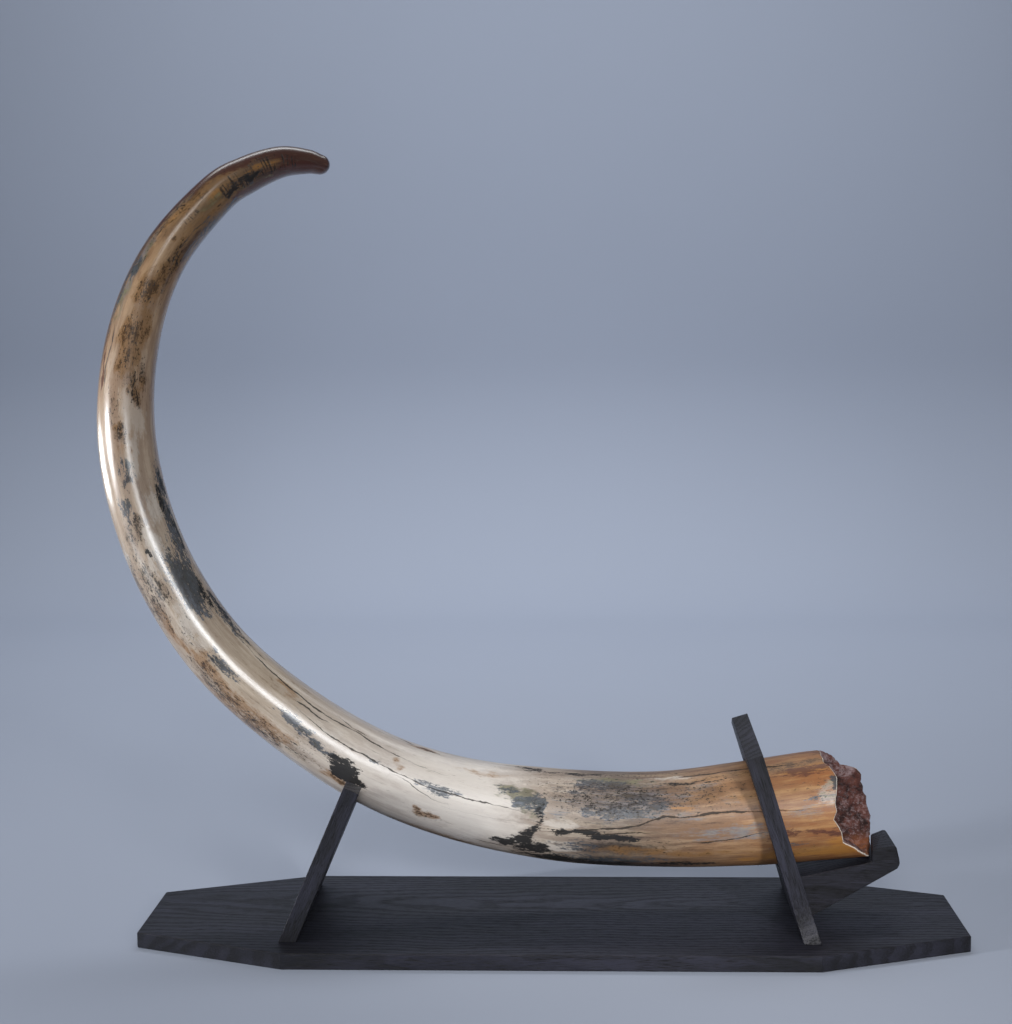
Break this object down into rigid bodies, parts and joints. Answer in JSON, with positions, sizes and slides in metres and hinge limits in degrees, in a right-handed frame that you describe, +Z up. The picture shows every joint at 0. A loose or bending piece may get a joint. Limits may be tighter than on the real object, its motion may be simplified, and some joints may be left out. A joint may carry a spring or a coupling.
{
  "type": "mammoth tusk on a stand",
  "caption": "Polished, strongly curved mammoth tusk with a hollow broken root, resting on a black oak stand.",
  "frame": {"origin": "centre of the base board's flat underside", "axes": "+X along the base board, from the tusk's bend towards its root; +Y to the back, away from the viewer; +Z up"},
  "size_m": [0.9753, 0.3407, 0.903],
  "materials": {
    "black_oak": "satin, black-stained oak with open grain",
    "polished_ivory": "polished, cream and tan with blue-black stains"
  },
  "bodies": {
    "root": {"base_board": "black_oak", "left_prop": "black_oak", "right_upright": "black_oak", "hook_arm": "black_oak", "tusk": "polished_ivory"}
  },
  "joints": []
}
